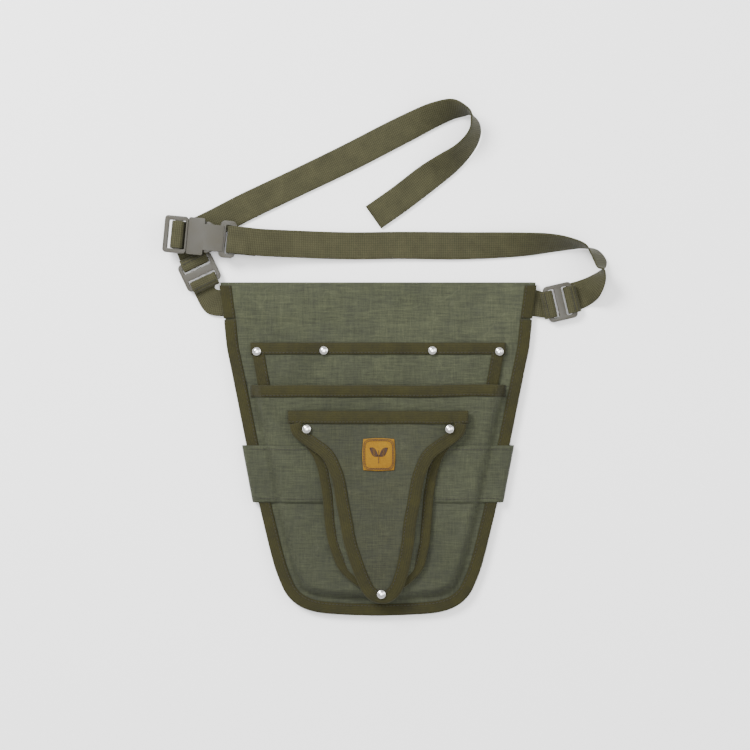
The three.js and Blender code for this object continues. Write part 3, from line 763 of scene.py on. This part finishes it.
def across(place, x, z, width=WEB):
    c, s, w = math.cos(place[2]), math.sin(place[2]), width / 2
    return (place[0] + x * c - w * s, place[1] + x * s + w * c, z,
            place[0] + x * c + w * s, place[1] + x * s - w * c, z)


def swap(row):
    return (*row[3:], *row[:3])


def station(x1, y1, x2, y2, low):
    lift = math.sqrt(max(0.0, WEB * WEB - (x1 - x2) ** 2 - (y1 - y2) ** 2))
    return (x1, y1, low + lift, x2, y2, low)


def bar_loop(place, side, whole):
    profile = [(18, LOW_Z), (12, LOW_Z), (8, LOW_Z), (6.4, 2.9), (5.9, 4.9), (6.4, 6.9), (8, OVER_Z),
               (11.5, OVER_Z), (13.6, 7.4), (15.4, 6.2), (16.8, 5.0)]
    return [across(place, side * x, z) for x, z in profile[0 if whole else 1:]]


def smooth_curve(points, steps):
    """Catmull-Rom through the points, with spacing by the square root of distance."""
    p = np.asarray(points, float)
    p = np.vstack([2 * p[0] - p[1], p, 2 * p[-1] - p[-2]])
    out = []
    for i in range(1, len(p) - 2):
        d = [max(1e-4, np.linalg.norm(p[i + k] - p[i + k - 1])) ** 0.5 for k in range(3)]
        t0, t1 = 0.0, d[0]
        t2, t3 = t1 + d[1], t1 + d[1] + d[2]
        for k in range(steps):
            t = t1 + (t2 - t1) * k / steps
            a1 = (t1 - t) / (t1 - t0) * p[i - 1] + (t - t0) / (t1 - t0) * p[i]
            a2 = (t2 - t) / (t2 - t1) * p[i] + (t - t1) / (t2 - t1) * p[i + 1]
            a3 = (t3 - t) / (t3 - t2) * p[i + 1] + (t - t2) / (t3 - t2) * p[i + 2]
            b1 = (t2 - t) / (t2 - t0) * a1 + (t - t0) / (t2 - t0) * a2
            b2 = (t3 - t) / (t3 - t1) * a2 + (t - t1) / (t3 - t1) * a3
            out.append((t2 - t) / (t2 - t1) * b1 + (t - t1) / (t2 - t1) * b2)
    out.append(p[-2])
    return np.array(out)


def webbing(name, rows, body, nodes, steps=8):
    """Flat webbing through pairs of edge points: the piece, its middle line in metres, and its two edges."""
    rows = np.asarray(rows, float)
    a, b = smooth_curve(rows[:, :3], steps), smooth_curve(rows[:, 3:], steps)
    grid = [[p + (q - p) * t for t in (0, 0.04, 0.2, 0.4, 0.6, 0.8, 0.96, 1)] for p, q in zip(a, b)]
    obj = surface(name, grid, WEB_T)
    finish_piece(obj, WEBBING, body, nodes)
    return obj, (a + b) / 2 * MM, a, b


def zigzag(name, a, b, first, last, lift, body):
    """Sewn bar tacks across webbing between two places on its run."""
    runs = []
    for i in (first, last):
        p, q = a[i], b[i]
        steps = 12
        pts = []
        for k in range(steps + 1):
            t = 0.06 + 0.88 * k / steps
            base = p + (q - p) * t
            off = (a[i + 1] - a[i - 1])
            off = off / np.linalg.norm(off) * (0.9 if k % 2 else -0.9)
            pts.append(base + off + np.array((0, 0, lift)))
        runs.append(pts)
    stitches(name, runs, body, THREAD, 2.2, 2.0, 0.34)


def belts():
    rows = [(x, 12.1, LOW_Z, x, -12.9, LOW_Z) for x in (-80, -40, 0, 60, 120, 142)]
    rows += bar_loop(SLIDER_RIGHT, -1, False)
    _, _, a, b = webbing("belt_in_tunnel", rows, "belt", ["tunnel_webbing"])
    zigzag("belt_tack_right", a, b, len(a) - 8, len(a) - 20, WEB_T / 2 + 0.25, "belt")
    rows = [(-81, 12.1, LOW_Z, -81, -12.9, LOW_Z), (-134, 12.1, LOW_Z, -136, -12.9, LOW_Z),
            (-150.6, 12.6, LOW_Z, -158, -10, LOW_Z)]
    rows += [row if row[0] > row[3] else swap(row) for row in bar_loop(SLIDER_LEFT, 1, True)[1:]]
    _, _, a, b = webbing("belt_left_loop", rows, "buckle_male", ["left_loop_webbing"])
    zigzag("belt_tack_left", a, b, len(a) - 8, len(a) - 20, WEB_T / 2 + 0.25, "buckle_male")


def long_webbing():
    low = 1.4
    start = [swap(row) for row in bar_loop(SLIDER_RIGHT, 1, False)[::-1][:-1]]
    rise = [
        station(183.1, -8.3, 174.8, 16.6, low), station(194.6, -3.2, 183.1, 19.3, low),
        station(203.3, 5.1, 190.4, 21.6, low), station(207.9, 20.2, 198.7, 25.3, low),
        station(206.1, 29.4, 206.1, 29.3, low), station(200.6, 31.3, 210.5, 33.1, low),
        station(197.3, 37.7, 210.7, 38.6, low), station(194.6, 43.2, 203.3, 47.8, low),
        station(189.5, 52, 189.7, 50.1, low), station(173, 59.1, 179.4, 49, low),
        station(156.4, 62.2, 161.6, 46.6, low), station(133.4, 63.5, 135.2, 42.8, low),
        (80, 64.6, 4.2, 80, 39.6, 2.4), (20, 65, 3.4, 20, 40, 3.4), (-26, 64.5, 4.5, -26, 39.5, 4.5),
        (-80, 66, 9, -80, 41, 9),
    ]
    profile = [(54, 12.4), (42, 15.4), (34, 15.6), (29.4, 15.4), (26.6, 14.2), (25.9, 11.5), (25.9, 8.5),
               (26.6, 4.6), (29.4, 3.2), (36, 3.1), (52, 3.0)]
    over = [across(BUCKLE, x, z + BUCKLE_RAISE) for x, z in profile]
    obj, mid, a, b = webbing("belt_webbing", start + rise + over, "belt", ["belt_webbing"])
    zigzag("belt_tack_front", a, b, 8, 22, WEB_T / 2 + 0.3, "belt")


def short_straps():
    loop = [row if row[0] < row[3] else swap(row) for row in bar_loop(SLIDER_LEFT, -1, False)[::-1]]
    behind = [(-185, 44, 2.9, -163.5, 53.5, 2.9), (-188.5, 54, 3.55, -166.5, 60.5, 3.55),
              (-190, 64, 3.55, -168, 64.5, 3.55)]
    _, _, a, b = webbing("short_strap", loop[:-1] + behind, "buckle_male", ["short_strap"])
    zigzag("short_strap_tack", a, b, 8, 20, WEB_T / 2 + 0.25, "buckle_male")
    wrap = [(-15.2, 7.2), (-15.5, 10), (-15.9, 12.4), (-17.4, 13.9), (-20.4, 14.1), (-23.2, 13.9),
            (-25.1, 12.4), (-25.7, 10), (-25.7, 6.6), (-25, 4.8), (-23, 4.0), (-16, 4.0), (-8, 3.9), (2, 3.4)]
    rows = [across(BUCKLE, x, z + BUCKLE_RAISE) for x, z in wrap]
    webbing("ladder_wrap", rows, "buckle_male", ["ladder_wrap"])


def tail():
    low = 1.55
    rows = [
        (-178, 74.5, 1.05, -167, 51.5, 1.05), (-158, 84, 1.15, -147, 61.3, 1.15),
        (-127, 99.9, low, -115.9, 77, low), (-80, 122, low, -69, 99.5, low),
        (-35, 143.9, low, -23, 121.4, low), station(20.2, 171.6, 30.4, 149, low),
        station(49.7, 182.9, 58, 163.8, low), station(68.1, 185.4, 70.8, 169.7, low),
        station(78.2, 180.3, 79.6, 172, low), station(84.6, 173.4, 84.7, 173.3, low),
        station(84.9, 166.5, 92.5, 167, low), station(83.7, 158.2, 95, 158.2, low),
        station(79.1, 150.9, 92.5, 147.2, low), station(69, 142.1, 84.6, 134.3, low),
        station(58, 136.2, 71.8, 120.5, low), station(38.6, 125.1, 53.4, 105.3, low),
        (14, 106.5, 1.8, 28.6, 86.2, 1.8), (-11.5, 88.5, 1.6, 2.9, 68.1, 1.6),
    ]
    obj, mid, _, _ = webbing("tail_strap", rows, "buckle_male", ["tail_strap"])


# ---------- Moulded buckle and sliders ----------

def moulded(name, node, body, bevel):
    """The solid model's own shape with its edges rounded."""
    mesh = NODES[node].data.copy()
    obj = bpy.data.objects.new(name, mesh)
    bpy.context.scene.collection.objects.link(obj)
    mesh.materials.clear()
    weld = obj.modifiers.new("weld", "WELD")
    weld.merge_threshold = 0.00002
    flat = obj.modifiers.new("flat", "DECIMATE")
    flat.decimate_type = "DISSOLVE"
    flat.angle_limit = math.radians(2)
    edge = obj.modifiers.new("edge", "BEVEL")
    edge.width = bevel * MM
    edge.segments = 3
    edge.limit_method = "ANGLE"
    edge.angle_limit = math.radians(40)
    edge.harden_normals = True
    return finish_piece(obj, PLASTIC, body, [node])


def hardware():
    moulded("slider_right_frame", "slider_right", "belt", 0.7)
    moulded("slider_left_frame", "slider_left", "buckle_male", 0.7)
    moulded("buckle_socket", "buckle_female", "belt", 1.0)
    moulded("buckle_plug", "buckle_male", "buckle_male", 0.9)
    moulded("latch_upper_arm", "latch_arm_upper", "latch_upper", 0.6)
    moulded("latch_lower_arm", "latch_arm_lower", "latch_lower", 0.6)


# ---------- Studio ----------

def area_light(name, place, target, size, power):
    data = bpy.data.lights.new(name, "AREA")
    data.size = size
    data.energy = power
    obj = bpy.data.objects.new(name, data)
    obj.location = place
    obj.rotation_euler = (Vector(target) - Vector(place)).to_track_quat("-Z", "Y").to_euler()
    bpy.context.scene.collection.objects.link(obj)


def studio():
    n = Nodes("floor_white")
    n.bsdf.inputs["Base Color"].default_value = (0.94, 0.94, 0.94, 1)
    n.bsdf.inputs["Roughness"].default_value = 0.9
    mesh = bpy.data.meshes.new("floor")
    corners = [(x, y, FLOOR_Z) for x, y in ((-6, -6), (6, -6), (6, 6), (-6, 6))]
    mesh.from_pydata(corners, [], [(0, 1, 2, 3)])
    floor = bpy.data.objects.new("floor", mesh)
    floor.data.materials.append(n.mat)
    bpy.context.scene.collection.objects.link(floor)
    world = bpy.data.worlds.new("world")
    world.use_nodes = True
    world.node_tree.nodes["Background"].inputs[0].default_value = (1, 1, 1, 1)
    world.node_tree.nodes["Background"].inputs[1].default_value = 0.85
    bpy.context.scene.world = world
    area_light("key", (-1.1, 1.0, 1.5), (0, -0.1, 0), 0.8, 84)
    area_light("fill", (1.4, 0.2, 1.3), (0, -0.1, 0), 1.2, 20)
    area_light("top", (0, -0.1, 2.6), (0, -0.1, 0), 1.4, 56)


long_webbing()
tail()
body_panel()
upper_pocket()
main_pocket()
wrap_band()
bindings()
holster()
rivets()
patch()
belts()
short_straps()
hardware()
studio()
